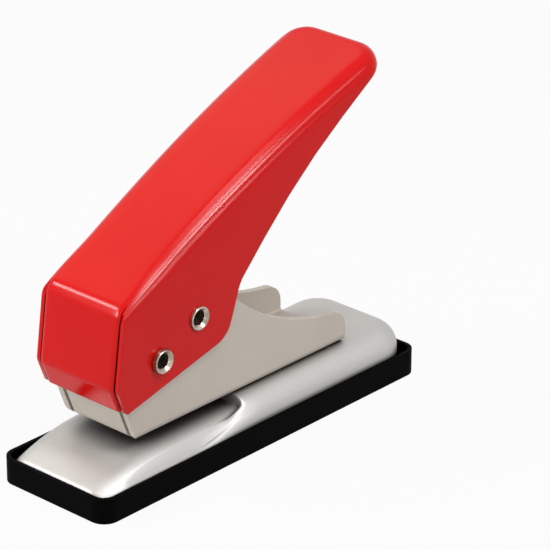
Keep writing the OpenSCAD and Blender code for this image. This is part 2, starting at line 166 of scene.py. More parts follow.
def linear(red, green, blue):
    """Linear colour of sRGB values from 0 to 255."""
    def channel(value):
        value /= 255
        return value / 12.92 if value <= 0.04045 else ((value + 0.055) / 1.055) ** 2.4
    return (channel(red), channel(green), channel(blue), 1.0)


# Materials


class Finish:
    """A node material under construction, with textures in the part's own metres."""

    def __init__(self, name):
        self.material = bpy.data.materials.new(name)
        self.material.use_nodes = True
        self.nodes = self.material.node_tree.nodes
        self.links = self.material.node_tree.links
        self.shader = self.nodes["Principled BSDF"]
        self.place = self.nodes.new("ShaderNodeTexCoord").outputs["Object"]

    def fixed(self, **values):
        """Sets plain numbers on the shader's own sockets."""
        for name, value in values.items():
            self.shader.inputs[name.replace("_", " ")].default_value = value

    def drive(self, socket, output):
        self.links.new(output, self.shader.inputs[socket])

    def lay_painted_light_and_tarnish(self, share, colour):
        """Lays a colour over the base colour so far, by a mask: painted shade on the base, and tarnish with
        a painted reflection in the rivets' bores.
        """
        clean = self.shader.inputs["Base Color"].links[0].from_socket
        self.drive("Base Color", self.mix(share, clean, colour))

    def noise(self, size_mm, detail=3.0, stretch=(1, 1, 1)):
        """Noise with features of about that size, drawn out along the axes by stretch."""
        mapping = self.nodes.new("ShaderNodeMapping")
        mapping.inputs["Scale"].default_value = [1 / s for s in stretch]
        self.links.new(self.place, mapping.inputs["Vector"])
        noise = self.nodes.new("ShaderNodeTexNoise")
        noise.inputs["Scale"].default_value = 1 / (size_mm * MM)
        noise.inputs["Detail"].default_value = detail
        self.links.new(mapping.outputs["Vector"], noise.inputs["Vector"])
        return noise.outputs["Fac"]

    def span(self, value, low, high, start=0.3, end=0.7):
        """The value's range from start to end spread over low to high."""
        node = self.nodes.new("ShaderNodeMapRange")
        for name, number in (("From Min", start), ("From Max", end), ("To Min", low), ("To Max", high)):
            node.inputs[name].default_value = number
        self.links.new(value, node.inputs["Value"])
        return node.outputs["Result"]

    def mix(self, factor, first, second):
        """Colour that goes from the first to the second with the factor."""
        node = self.nodes.new("ShaderNodeMix")
        node.data_type = "RGBA"
        self.links.new(factor, node.inputs["Factor"])
        for socket, colour in (("A", first), ("B", second)):
            target = [s for s in node.inputs if s.name == socket and s.type == "RGBA"][0]
            if isinstance(colour, bpy.types.NodeSocket):
                self.links.new(colour, target)
            else:
                target.default_value = colour
        return [s for s in node.outputs if s.type == "RGBA"][0]

    def rounded(self, radius_mm):
        """Normal that rounds sharp edges by that radius."""
        node = self.nodes.new("ShaderNodeBevel")
        node.samples = 8
        node.inputs["Radius"].default_value = radius_mm * MM
        return node.outputs["Normal"]

    def edges(self, normal):
        """1 on sharp edges, where the rounded normal leaves the face's own, and 0 elsewhere."""
        geometry = self.nodes.new("ShaderNodeNewGeometry")
        agreement = self.nodes.new("ShaderNodeVectorMath")
        agreement.operation = "DOT_PRODUCT"
        self.links.new(normal, agreement.inputs[0])
        self.links.new(geometry.outputs["Normal"], agreement.inputs[1])
        return self.span(agreement.outputs["Value"], 1, 0, 0.75, 0.97)

    def occlusion_mask(self, reach_mm):
        """1 in crevices and hollows of that reach and 0 on open faces: the mask for painted shade on the
        base and painted light in the bores.
        """
        node = self.nodes.new("ShaderNodeAmbientOcclusion")
        node.samples = 8
        node.inputs["Distance"].default_value = reach_mm * MM
        return self.span(node.outputs["AO"], 1, 0, 0.25, 0.85)

    def bump(self, height, depth_mm, strength, normal=None):
        node = self.nodes.new("ShaderNodeBump")
        node.inputs["Distance"].default_value = depth_mm * MM
        node.inputs["Strength"].default_value = strength
        self.links.new(height, node.inputs["Height"])
        if normal is not None:
            self.links.new(normal, node.inputs["Normal"])
        return node.outputs["Normal"]


def enamel(name, colour, deep, thin, roughness, edge_mm):
    """Stoved paint: faint drifts of tone and gloss, a fine peel, and thinner paint on the edges."""
    paint = Finish(name)
    drift = paint.noise(16, detail=3)
    peel = paint.noise(0.9, detail=1)
    normal = paint.rounded(edge_mm)
    body = paint.mix(paint.span(drift, 0, 1), colour, deep)
    paint.drive("Base Color", paint.mix(paint.edges(normal), body, thin))
    paint.drive("Roughness", paint.span(drift, roughness - 0.03, roughness + 0.03))
    paint.drive("Normal", paint.bump(peel, 0.01, 0.12, normal))
    return paint


def red_enamel():
    paint = enamel("red_enamel", linear(191, 5, 5), linear(186, 4, 4), linear(203, 18, 14),
                   roughness=0.17, edge_mm=0.3)
    paint.fixed(Specular_IOR_Level=0.18)
    return paint.material


def grey_enamel():
    paint = enamel("grey_enamel", linear(185, 177, 167), linear(180, 171, 161), linear(200, 193, 184),
                   roughness=0.42, edge_mm=0.3)
    paint.fixed(Specular_IOR_Level=0.25)
    return paint.material


def satin_base():
    """Satin metallic coat on the pressed base, with painted shade darkening its crevices."""
    coat = enamel("satin_base", linear(182, 181, 179), linear(177, 175, 172), linear(194, 193, 191),
                  roughness=0.44, edge_mm=0.35)
    coat.fixed(Metallic=0.5, Specular_IOR_Level=0.4)
    # Painted shade: near black where the base is hemmed in, under the frame and at its foot by the tray
    coat.lay_painted_light_and_tarnish(coat.occlusion_mask(8), linear(36, 33, 28))
    return coat.material


def black_plastic():
    """Moulded plastic with a fine spark-eroded grain."""
    plastic = Finish("black_plastic")
    grain = plastic.noise(0.22, detail=2)
    drift = plastic.noise(9)
    normal = plastic.rounded(0.4)
    body = plastic.mix(plastic.span(drift, 0, 1), linear(4, 5, 4), linear(6, 7, 6))
    plastic.drive("Base Color", plastic.mix(plastic.edges(normal), body, linear(10, 11, 10)))
    plastic.drive("Roughness", plastic.span(drift, 0.46, 0.56))
    plastic.drive("Normal", plastic.bump(grain, 0.015, 0.25, normal))
    plastic.fixed(Specular_IOR_Level=0.012)
    return plastic.material


def metal(name, colour, dark, roughness, stretch, size_mm):
    """Bare metal with fine drawn or turned marks."""
    steel = Finish(name)
    marks = steel.noise(size_mm, detail=4, stretch=stretch)
    tarnish = steel.noise(2.5, detail=5)
    steel.drive("Base Color", steel.mix(steel.span(tarnish, 0, 1, 0.4, 0.75), colour, dark))
    steel.drive("Roughness", steel.span(marks, roughness - 0.06, roughness + 0.1))
    steel.drive("Normal", steel.bump(marks, 0.008, 0.3, steel.rounded(0.12)))
    steel.fixed(Metallic=1.0)
    return steel


def nickel_plate():
    """Bright plate that is dull and brown in its bores, as tarnish and as a painted reflection of the light
    inside them.
    """
    plate = metal("nickel", linear(192, 181, 170), linear(130, 112, 96),
                  roughness=0.22, stretch=(1, 6, 1), size_mm=0.2)
    # Tarnish and painted reflection: brown and less metallic in the bores, so that they look lit inside
    bore = plate.occlusion_mask(3)
    plate.lay_painted_light_and_tarnish(bore, linear(128, 100, 74))
    plate.drive("Metallic", plate.span(bore, 1, 0.2))
    return plate.material


def tool_steel():
    steel = metal("tool_steel", linear(168, 168, 170), linear(140, 140, 143),
                  roughness=0.34, stretch=(1, 1, 8), size_mm=0.15)
    return steel.material


def spring_steel():
    steel = metal("spring_steel", linear(120, 120, 124), linear(92, 90, 90),
                  roughness=0.36, stretch=(3, 3, 1), size_mm=0.1)
    return steel.material


SLOT_MATERIALS = {
    "red_paint": red_enamel(),
    "frame_paint": grey_enamel(),
    "base_finish": satin_base(),
    "tray_plastic": black_plastic(),
    "nickel": nickel_plate(),
    "tool_steel": tool_steel(),
    "spring_steel": spring_steel(),
}


def paint_cad_nodes():
    """Gives each carried-over CAD node the material of its slot."""
    for part in frame["record"]["subparts"]:
        slots = frame["nodes"][part["node"]].data.materials
        slots.clear()
        slots.append(SLOT_MATERIALS[part["material_slot"]])


def add_piece(name, mesh, body, node, slot):
    """Links a piece that stands for a CAD node, in that node's finish."""
    piece = bpy.data.objects.new(name, mesh)
    bpy.context.collection.objects.link(piece)
    mesh.materials.append(SLOT_MATERIALS[slot])
    mesh.polygons.foreach_set("use_smooth", [True] * len(mesh.polygons))
    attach(piece, body)
    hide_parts(node)
    return piece


def as_mesh(work, name):
    """Mesh of a finished bmesh, which is freed."""
    mesh = bpy.data.meshes.new(name)
    work.to_mesh(mesh)
    work.free()
    return mesh


def thicken(piece, thickness):
    """Gives a sheet's outer face its thickness, inwards."""
    sheet = piece.modifiers.new("sheet", "SOLIDIFY")
    sheet.thickness = thickness * MM
    sheet.offset = -1
    return sheet


# Handle: one sheet with bends along its top, a folded front flap and a rounded rear end


def round_corner(before, at, after, radius, step_deg=6):
    """Points of the arc that rounds the corner at a point between its neighbours."""
    to_before = (before - at).normalized()
    to_after = (after - at).normalized()
    half = math.acos(max(-1, min(1, to_before.dot(to_after)))) / 2
    centre = at + (to_before + to_after).normalized() * radius / math.sin(half)
    start = at + to_before * radius / math.tan(half) - centre
    turn = math.copysign(math.pi - 2 * half, -to_before.cross(to_after))
    steps = max(2, math.ceil(math.degrees(abs(turn)) / step_deg))
    return [centre + Matrix.Rotation(turn * i / steps, 2) @ start for i in range(steps + 1)]


def rounded_path(corners):
    """Open path through (point, radius) corners, rounded."""
    points = [corners[0][0]]
    for (before, _), (at, radius), (after, _) in zip(corners, corners[1:], corners[2:]):
        points += round_corner(before, at, after, radius) if radius else [at]
    return points + [corners[-1][0]]


def toward(degrees):
    return Vector((math.cos(math.radians(degrees)), math.sin(math.radians(degrees))))


def rolled(distance, radius):
    """Drop of an edge rounded by the radius, at a distance in from the edge."""
    return radius - math.sqrt(radius ** 2 - max(0, min(radius, radius - distance)) ** 2)


def eased(share):
    """Share from 0 to 1, with a smooth start and end."""
    share = max(0, min(1, share))
    return share * share * (3 - 2 * share)


ARCH_C = FOLD_TOP + ARCH_R * Vector((toward(SLOPE_DEG).y, -toward(SLOPE_DEG).x))
ARCH_REAR = math.acos((PIVOT.x + REACH - REAR_R - ARCH_C.x) / ARCH_R)
ARCH_FRONT = math.radians(90 + SLOPE_DEG)
FRONT_U = ARCH_R * (ARCH_FRONT - ARCH_REAR)
FOLD_U = FRONT_U - FOLD_BACK
TAPER_END = TAPER + TAPER_RUN * toward(TAPER_DEG)
LOWER_EDGE = rounded_path([(WALL_FRONT, 0), (KNEE, KNEE_R), (HOLLOW, HOLLOW_R), (TAPER, TAPER_R),
                           (TAPER_END, 0)])
DRIVE = PIVOT + DRIVE_R * toward(DRIVE_DEG)


def on_arch(u, h):
    """Side-view point at length u along the top from the rear end's start, and height h over the top."""
    angle = ARCH_REAR + max(u, 0) / ARCH_R
    out = Vector((math.cos(angle), math.sin(angle)))
    back = Vector((out.y, -out.x))
    return ARCH_C + out * (ARCH_R + h) + back * max(-u, 0)


def spread(x):
    """Factor by which the handle is wider at that place than at its front."""
    run = max(0, x - SPREAD_FROM)
    grown = run ** 2 / (2 * SPREAD_EASE) if run < SPREAD_EASE else run - SPREAD_EASE / 2
    full = SPREAD_TO - SPREAD_FROM - SPREAD_EASE / 2
    return 1 + SPREAD * grown / full / (HANDLE_W / 2)


def bend_radius(u):
    """Outer radius of the bend along the top, narrower at the fold."""
    return FRONT_BEND_R + (BEND_R - FRONT_BEND_R) * eased((FOLD_U - u) / FRONT_BEND_RUN)


def depth_below(u):
    """Depth at which the wall's lower edge lies under the top at u."""
    start = on_arch(u, 0)
    down = (on_arch(u, -1) - start).normalized()
    for first, second in zip(LOWER_EDGE, LOWER_EDGE[1:]):
        along = second - first
        crossing = down.cross(along)
        if abs(crossing) < 1e-9:
            continue
        depth = (first - start).cross(along) / crossing
        share = (first - start).cross(down) / crossing
        if depth > 0 and -1e-6 <= share <= 1 + 1e-6:
            return depth
    raise ValueError("no lower edge under the handle's top")


def front_u(depth):
    """Length along the top at which the folded front edge lies at that depth under the top."""
    lean = math.atan2(FOLD_TOP.x - FOLD_MID.x, FOLD_TOP.y - FOLD_MID.y)
    turn = math.radians(90 - SLOPE_DEG) - lean
    start = FRONT_U - FOLD_R * math.tan(turn / 2)
    bend_depth = FOLD_R * (1 - math.cos(turn))
    if depth <= bend_depth:
        return start + math.sqrt(FOLD_R ** 2 - (FOLD_R - depth) ** 2)
    return start + FOLD_R * math.sin(turn) + (depth - bend_depth) / math.tan(turn)


class HandleSheet:
    """Outer face of the handle's sheet, built strip by strip, with these numbers of steps."""

    ALONG = 36
    ACROSS = 12
    CORNER = 10
    BEND = 8
    NOSE = 4
    WING = 3
    BORE = 32

    def __init__(self):
        self.sheet = bmesh.new()
        self.flat = HANDLE_W / 2 - FRONT_BEND_R
        self.places = self.top_places()
        self.top = self.top_rows()
        self.rim = self.rear_strip()
        self.flap()
        for side in (-1, 1):
            self.side_wall(side)

    def vertex(self, u, y, h):
        spot = on_arch(u, h)
        return self.sheet.verts.new((spot.x * MM, y * MM, spot.y * MM))

    def skin(self, first, second):
        """Faces between two rows of the same number of vertices."""
        for a, b, c, d in zip(first, first[1:], second[1:], second):
            self.sheet.faces.new((a, b, c, d))

    def top_places(self):
        """Length u, half width of the flat and bend radius, from the fold round the rear end's corners."""
        lengths = [FOLD_U * (1 - i / self.ALONG) for i in range(self.ALONG + 1)]
        places = [(u, HANDLE_W / 2 - bend_radius(u), bend_radius(u)) for u in lengths]
        for i in range(1, self.CORNER + 1):
            angle = math.pi / 2 * i / self.CORNER
            radius = min(BEND_R, depth_below(-REAR_R * math.sin(angle)) - REAR_RIM)
            reach = REAR_R - radius
            half = HANDLE_W / 2 - REAR_R + reach * math.cos(angle)
            places.append((-reach * math.sin(angle), half, radius))
        return places

    def top_rows(self):
        """Rows across the flat of the top."""
        shares = [2 * j / self.ACROSS - 1 for j in range(self.ACROSS + 1)]
        rows = [[self.vertex(u, half * share, 0) for share in shares] for u, half, _ in self.places]
        for first, second in zip(rows, rows[1:]):
            self.skin(first, second)
        return rows

    def edge_stations(self):
        """Vertex, u, y, outward direction and bend radius, from one fold by the rear to the other."""
        near = []
        far = []
        for i, (u, half, radius) in enumerate(self.places):
            turn = math.pi / 2 * max(i - self.ALONG, 0) / self.CORNER
            near.append((self.top[i][0], u, -half, (-math.sin(turn), -math.cos(turn)), radius))
            far.append((self.top[i][-1], u, half, (-math.sin(turn), math.cos(turn)), radius))
        u, _, radius = self.places[-1]
        rear = [(vertex, u, vertex.co.y / MM, (-1, 0), radius) for vertex in self.top[-1][1:-1]]
        return near + rear + far[::-1]

    def rear_strip(self):
        """Bend all round the top, and the upright wall round the rear end."""
        columns = []
        for vertex, u, y, (out_u, out_y), radius in self.edge_stations():
            column = [vertex]
            for b in range(1, self.BEND + 1):
                angle = math.pi / 2 * b / self.BEND
                reach = radius * math.sin(angle)
                drop = radius * (1 - math.cos(angle))
                column.append(self.vertex(u + out_u * reach, y + out_y * reach, -drop))
            if u <= 1e-9:
                foot_u = u + out_u * radius
                column.append(self.vertex(foot_u, y + out_y * radius, -depth_below(foot_u)))
            columns.append(column)
        for first, second in zip(columns, columns[1:]):
            shared = min(len(first), len(second))
            self.skin(second[:shared], first[:shared])
        return columns

    def flap(self):
        """Front flap: the top's sheet folded down, a little wider than the flat of the top."""
        half = HANDLE_W / 2 - HANDLE_T - SEAM
        fold = on_arch(FOLD_U, 0)
        path = rounded_path([(fold, 0), (FOLD_TOP, FOLD_R), (FOLD_MID, FOLD_MID_R), (FLAP_END, 0)])
        edge_from = half - FLAP_EDGE_ROLL
        inner = [v.co.y / MM for v in self.top[0]]
        wing = [self.flat + (half - self.flat) * i / self.WING for i in range(1, self.WING + 1)]
        columns = [-y for y in reversed(wing)] + inner + wing
        rows = []
        for i, point in enumerate(path):
            along = (path[min(i + 1, len(path) - 1)] - path[max(i - 1, 0)]).normalized()
            inward = Vector((-along.y, along.x))
            row = []
            for y in columns:
                bend_roll = rolled(FRONT_BEND_R - abs(y) + self.flat, FRONT_BEND_R)
                edge_roll = rolled(FLAP_EDGE_R - abs(y) + edge_from, FLAP_EDGE_R)
                share = eased((point - path[0]).length / FLAP_BLEND)
                spot = point + inward * (bend_roll + (edge_roll - bend_roll) * share)
                row.append(self.sheet.verts.new((spot.x * MM, y * MM, spot.y * MM)))
            rows.append(row)
        for k, vertex in enumerate(self.top[0]):
            self.sheet.verts.remove(rows[0][self.WING + k])
            rows[0][self.WING + k] = vertex
        for first, second in zip(rows, rows[1:]):
            self.skin(second, first)

    def side_wall(self, side):
        """Flat side wall with its two bores, and the end of the bend beside the flap's fold."""
        half = HANDLE_W / 2
        columns = self.rim if side < 0 else self.rim[::-1]
        straight = columns[:self.ALONG + 1]
        cut = math.asin((half - HANDLE_T - self.flat) / FRONT_BEND_R)
        closed = math.asin((half - HANDLE_T - SEAM - self.flat) / FRONT_BEND_R)
        nose = []
        for step in range(self.NOSE + 1):
            share = step / self.NOSE
            start = closed + (cut - closed) * share
            row = []
            for i in range(self.NOSE + 1):
                angle = start + (math.pi / 2 - start) * i / self.NOSE
                depth = FRONT_BEND_R * (1 - math.cos(angle))
                u = FOLD_U + (front_u(depth) - WALL_BACK - FOLD_U) * share
                row.append(self.vertex(u, side * (self.flat + FRONT_BEND_R * math.sin(angle)), -depth))
            nose.append(row)
        for first, second in zip(nose, nose[1:]):
            if side < 0:
                self.skin(first, second)
            else:
                self.skin(second, first)
        border = [row[-1] for row in reversed(nose[1:])] + [column[self.BEND] for column in straight]
        border += straight[-1][self.BEND + 1:]
        border += [self.flat_vertex(p, side) for p in self.lower_points()]
        self.fill(border, side)

    def flat_vertex(self, point, side):
        return self.sheet.verts.new((point.x * MM, side * HANDLE_W / 2 * MM, point.y * MM))

    def lower_points(self):
        """Lower edge from the rear end's start forward, and up the front edge to the end of the bend."""
        start = on_arch(0, -depth_below(0))
        spacing = 0.5
        lower = [p for p in LOWER_EDGE if p.x < start.x - spacing]
        front = rounded_path([(WALL_FRONT, 0), (FLAP_END, 0), (FOLD_MID, FOLD_MID_R), (FOLD_TOP, 0)])
        return lower[::-1] + [p + Vector((WALL_BACK, 0)) for p in front[1:-1]]

    def fill(self, border, side):
        """Fills a flat wall inside its border, round the bores."""
        edges = [self.edge(a, b) for a, b in zip(border, border[1:] + border[:1])]
        around = [RIVET_D / 2 * toward(360 * i / self.BORE) for i in range(self.BORE)]
        for centre in (PIVOT, DRIVE):
            ring = [self.flat_vertex(centre + out, side) for out in around]
            edges += [self.edge(a, b) for a, b in zip(ring, ring[1:] + ring[:1])]
        bmesh.ops.triangle_fill(self.sheet, use_beauty=True, edges=edges, normal=(0, side, 0))

    def edge(self, a, b):
        return self.sheet.edges.get((a, b)) or self.sheet.edges.new((a, b))

    def mesh(self):
        for vertex in self.sheet.verts:
            vertex.co.y *= spread(vertex.co.x / MM)
        bmesh.ops.remove_doubles(self.sheet, verts=self.sheet.verts[:], dist=MERGE)
        bmesh.ops.recalc_face_normals(self.sheet, faces=self.sheet.faces[:])
        return as_mesh(self.sheet, "handle_sheet")


def folded_handle():
    piece = add_piece("folded_handle", HandleSheet().mesh(), "lever", "handle", "red_paint")
    thicken(piece, HANDLE_T).use_even_offset = True
    rounding = piece.modifiers.new("rounding", "BEVEL")
    rounding.width = EDGE_ROUND * MM
    rounding.segments = 2
    rounding.limit_method = "ANGLE"
    rounding.angle_limit = math.radians(EDGE_ROUND_FROM_DEG)
    rounding.harden_normals = True


# Base: one pressed sheet, given by its heights over the plan


def inside(x, y, end, corner_r):
    """Distance in from the plan's outline, as its end at the rear (1) or the front (-1) shapes it."""
    past_end = end * x - BASE_HALF_L + corner_r
    past_side = abs(y) - BASE_HALF_W + corner_r
    if past_end > 0 and past_side > 0:
        return corner_r - math.hypot(past_end, past_side)
    return corner_r - max(past_end, past_side)


def plateau_height(x, y):
    return PLATEAU_Z - rolled(inside(x, y, 1, REAR_CORNER_R), PLATEAU_Z - FLANK_Z)


def throat_height(x, y):
    """Level under the frame, then bent down along an arc to the rounded front lip."""
    flank = rolled(THROAT_FLANK_R + THROAT_FLANK_Y - abs(y), THROAT_FLANK_R)
    height = THROAT_Z - SLOPE_R + math.sqrt((SLOPE_R - flank) ** 2 - min(0, x - SLOPE_X) ** 2)
    from_edge = inside(x, y, -1, FRONT_CORNER_R)
    if from_edge < LIP_TOUCH:
        height = min(height, LIP_Z + LIP_R - rolled(from_edge, LIP_R))
    return height


def base_height(x, y):
    """Throat and raised part, joined by the paper stop: a step on the flat that fades out on the flanks."""
    fade = eased((abs(y) - STEP_FADE_FROM) / (STEP_FADE_TO - STEP_FADE_FROM))
    run = STEP_RUN + (STEP_FADED_RUN - STEP_RUN) * fade
    share = eased((x - STEP_X) / run + STEP_AHEAD)
    return throat_height(x, y) * (1 - share) + plateau_height(x, y) * share


def spaced(start, end, count):
    """Evenly spaced values from the start up to, and without, the end."""
    return [start + (end - start) * i / count for i in range(count)]


class BaseSheet:
    """Outer face of the base's sheet: rows across it, an upright rim all round and the punch's hole."""

    HOLE_HALF = 4.4
    HOLE_CELLS = 8
    FLANK_STEPS = 14

    def __init__(self):
        self.sheet = bmesh.new()
        rows = [self.row(x) for x in self.lengths()]
        first = self.near(self.lengths(), PUNCH_X - self.HOLE_HALF)
        low = self.near(self.widths(), -self.HOLE_HALF)
        cells = self.HOLE_CELLS
        for i, (front, back) in enumerate(zip(rows, rows[1:])):
            for j in range(len(front) - 1):
                if not (first <= i < first + cells and low <= j < low + cells):
                    self.sheet.faces.new((front[j], back[j], back[j + 1], front[j + 1]))
        block = [row[low:low + cells + 1] for row in rows[first:first + cells + 1]]
        self.hole(self.border(block))
        self.rim(self.border(rows))

    @staticmethod
    def near(values, wanted):
        return min(range(len(values)), key=lambda i: abs(values[i] - wanted))

    @staticmethod
    def border(rows):
        """Vertices round a block of rows, in order."""
        ahead = [row[0] for row in rows[:-1]]
        behind = [row[-1] for row in rows[:0:-1]]
        return ahead + rows[-1][:-1] + behind + rows[0][:0:-1]

    def lengths(self):
        """Places of the rows along the base, close together at the ends and at the paper stop."""
        front_turns = [math.pi / 2 * share for share in spaced(0, 1, 14)]
        front = [-BASE_HALF_L + FRONT_CORNER_R * (1 - math.cos(turn)) for turn in front_turns]
        rear_turns = [math.pi / 2 * share for share in spaced(0, 1, 18) + [1]]
        rear = [BASE_HALF_L - REAR_CORNER_R * (1 - math.sin(turn)) for turn in rear_turns]
        hole_start = PUNCH_X - self.HOLE_HALF
        hole_end = PUNCH_X + self.HOLE_HALF
        stop_start = STEP_X - 1.5
        stop_end = STEP_X + 0.9
        fade_end = 6
        middle = spaced(FRONT_CORNER_R - BASE_HALF_L, hole_start, 18)
        middle += spaced(hole_start, hole_end, self.HOLE_CELLS)
        middle += spaced(hole_end, stop_start, 8) + spaced(stop_start, stop_end, 16)
        middle += spaced(stop_end, fade_end, 10) + spaced(fade_end, BASE_HALF_L - REAR_CORNER_R, 16)
        return front + middle + rear

    def widths(self):
        """Places across the base, close together on the rounded flanks."""
        flat = BASE_HALF_W - PLATEAU_Z + FLANK_Z
        near_side = spaced(0, self.HOLE_HALF, self.HOLE_CELLS // 2) + spaced(self.HOLE_HALF, flat, 5)
        near_side += [flat + (BASE_HALF_W - flat) * math.sin(math.pi / 2 * i / self.FLANK_STEPS)
                      for i in range(self.FLANK_STEPS + 1)]
        return [-y for y in reversed(near_side[1:])] + near_side

    def row(self, x):
        corner_r = REAR_CORNER_R if x > 0 else FRONT_CORNER_R
        into_corner = max(0, abs(x) - BASE_HALF_L + corner_r)
        share = 1 - rolled(corner_r - into_corner, corner_r) / BASE_HALF_W
        return [self.vertex(x, y * share, base_height(x, y * share)) for y in self.widths()]

    def vertex(self, x, y, z):
        return self.sheet.verts.new((x * MM, y * MM, z * MM))

    def strip(self, first, second):
        """Faces between two closed loops of vertices."""
        for k in range(len(first)):
            after = (k + 1) % len(first)
            self.sheet.faces.new((first[k], first[after], second[after], second[k]))

    def hole(self, loop):
        circle = []
        for vertex in loop:
            out = Vector((vertex.co.x / MM - PUNCH_X, vertex.co.y / MM)).normalized() * PUNCH_HOLE_R
            circle.append(self.vertex(PUNCH_X + out.x, out.y, THROAT_Z))
        self.strip(loop, circle)

    def rim(self, loop):
        foot = [self.sheet.verts.new((v.co.x, v.co.y, BASE_FOOT_Z * MM)) for v in loop]
        self.strip(loop, foot)

    def mesh(self):
        bmesh.ops.recalc_face_normals(self.sheet, faces=self.sheet.faces[:])
        if self.sheet.faces[0].normal.z < 0:
            bmesh.ops.reverse_faces(self.sheet, faces=self.sheet.faces[:])
        return as_mesh(self.sheet, "base_sheet")


def pressed_base():
    piece = add_piece("pressed_base", BaseSheet().mesh(), "base", "base_plate", "base_finish")
    thicken(piece, BASE_T)


# Return spring


def coil_spring():
    """Round wire wound on a helix, with its cut ends closed."""
    sides = 12
    rings = round(32 * TURNS)
    low = SPRING_LOW + WIRE_D / 2
    high = SPRING_HIGH - WIRE_D / 2
    rise = (high - low) / rings
    vertices = []
    for i in range(rings + 1):
        angle = 2 * math.pi * TURNS * i / rings
        for k in range(sides):
            around = 2 * math.pi * k / sides
            reach = COIL_R + WIRE_D / 2 * math.cos(around)
            height = low + rise * i + WIRE_D / 2 * math.sin(around)
            spot = Vector((PUNCH_X + reach * math.cos(angle), reach * math.sin(angle), height))
            vertices.append(spot * MM)
    last = len(vertices) - 1
    faces = [tuple(range(sides)), tuple(range(last, last - sides, -1))]
    for i in range(rings):
        for k in range(sides):
            a = i * sides + k
            b = i * sides + (k + 1) % sides
            faces.append((a, a + sides, b + sides, b))
    mesh = bpy.data.meshes.new("coil_spring")
    mesh.from_pydata(vertices, [], faces)
    spring = add_piece("coil_spring", mesh, "base", "return_spring", "spring_steel")
    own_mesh(spring)


# Rivets: outlines of radius and place along the axis, turned about it and kept sharp past an angle


def turned(name, outline, centres, place, closed):
    """Mesh of an outline turned about an axis through each centre."""
    sides = 48
    sharp_deg = 40
    work = bmesh.new()
    for centre in centres:
        rings = []
        for radius, along in outline:
            around = [centre + radius * toward(360 * k / sides) for k in range(sides)]
            rings.append([work.verts.new(place(point, along) * MM) for point in around])
        pairs = list(zip(rings, rings[1:]))
        if closed:
            pairs.append((rings[-1], rings[0]))
        for first, second in pairs:
            for k in range(sides):
                after = (k + 1) % sides
                work.faces.new((first[k], second[k], second[after], first[after]))
    bmesh.ops.remove_doubles(work, verts=work.verts[:], dist=MERGE)
    bmesh.ops.recalc_face_normals(work, faces=work.faces[:])
    mesh = as_mesh(work, name)
    mesh.set_sharp_from_angle(angle=math.radians(sharp_deg))
    return mesh


def on_cross_axis(point, along):
    return Vector((point.x, along, point.y))


def on_upright_axis(point, along):
    return Vector((point.x, point.y, along))


def rivet_end(half_length, head):
    """Outline of one hollow end, from the barrel over the rolled rim into the bore."""
    under = half_length - head
    chamfer = 0.1
    flare_deg = 135
    points = [Vector((RIVET_D / 2, under))]
    points += [Vector((RIM_R - chamfer, under)), Vector((RIM_R, under + chamfer))]
    bead = Vector((RIM_R - RIM_BEAD_R, half_length - RIM_BEAD_R))
    points += [bead + RIM_BEAD_R * toward(angle) for angle in range(0, flare_deg + 1, 15)]
    run = points[-1].x - BORE_R
    throat = points[-1] - Vector((run, run))
    return points + round_corner(points[-1], throat, Vector((BORE_R, 0)), MOUTH_R)


def hollow_rivet(name, body, node, centre, head):
    """Rivet across the punch, with the same rolled and flared end on each side."""
    end = rivet_end(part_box(node)[1].y / MM, head)
    outline = end + [Vector((point.x, -point.y)) for point in reversed(end)]
    add_piece(name, turned(name, outline, [centre], on_cross_axis, True), body, node, "nickel")


def dome(radius, height, foot):
    """Outline of a domed head on a flat foot."""
    steps = 8
    dome_r = (radius ** 2 + height ** 2) / (2 * height)
    half = math.degrees(math.asin(radius / dome_r))
    middle = Vector((0, foot + height - dome_r))
    return [middle + dome_r * toward(90 - half * (1 - i / steps)) for i in range(steps + 1)]


def domed_rivets(name, node, shank_r, head_h, tail_r=0, tail_h=0, head_down=False):
    """Pair of solid rivets along the base, where the node's own pair stands."""
    low, high = [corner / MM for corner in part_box(node)]
    head_r = high.y
    grip = high.z - low.z - head_h
    tail = [(tail_r, 0), (tail_r, tail_h)] if tail_r else []
    outline = [(0, 0), *tail, (shank_r, tail_h), (shank_r, grip), *dome(head_r, head_h, grip)]
    if head_down:
        standing = [(radius, high.z - along) for radius, along in outline]
    else:
        standing = [(radius, low.z + along) for radius, along in outline]
    centres = [Vector((low.x + head_r, 0)), Vector((high.x - head_r, 0))]
    add_piece(name, turned(name, standing, centres, on_upright_axis, False), "base", node, "nickel")


# Floor, light and camera


def background_rays(tree):
    """1 for the rays that show the background: from the camera, and by way of gloss or glass."""
    rays = tree.nodes.new("ShaderNodeLightPath")
    seen = rays.outputs["Is Camera Ray"]
    for name in ("Is Glossy Ray", "Is Transmission Ray"):
        either = tree.nodes.new("ShaderNodeMath")
        either.operation = "MAXIMUM"
        tree.links.new(seen, either.inputs[0])
        tree.links.new(rays.outputs[name], either.inputs[1])
        seen = either.outputs[0]
    return seen


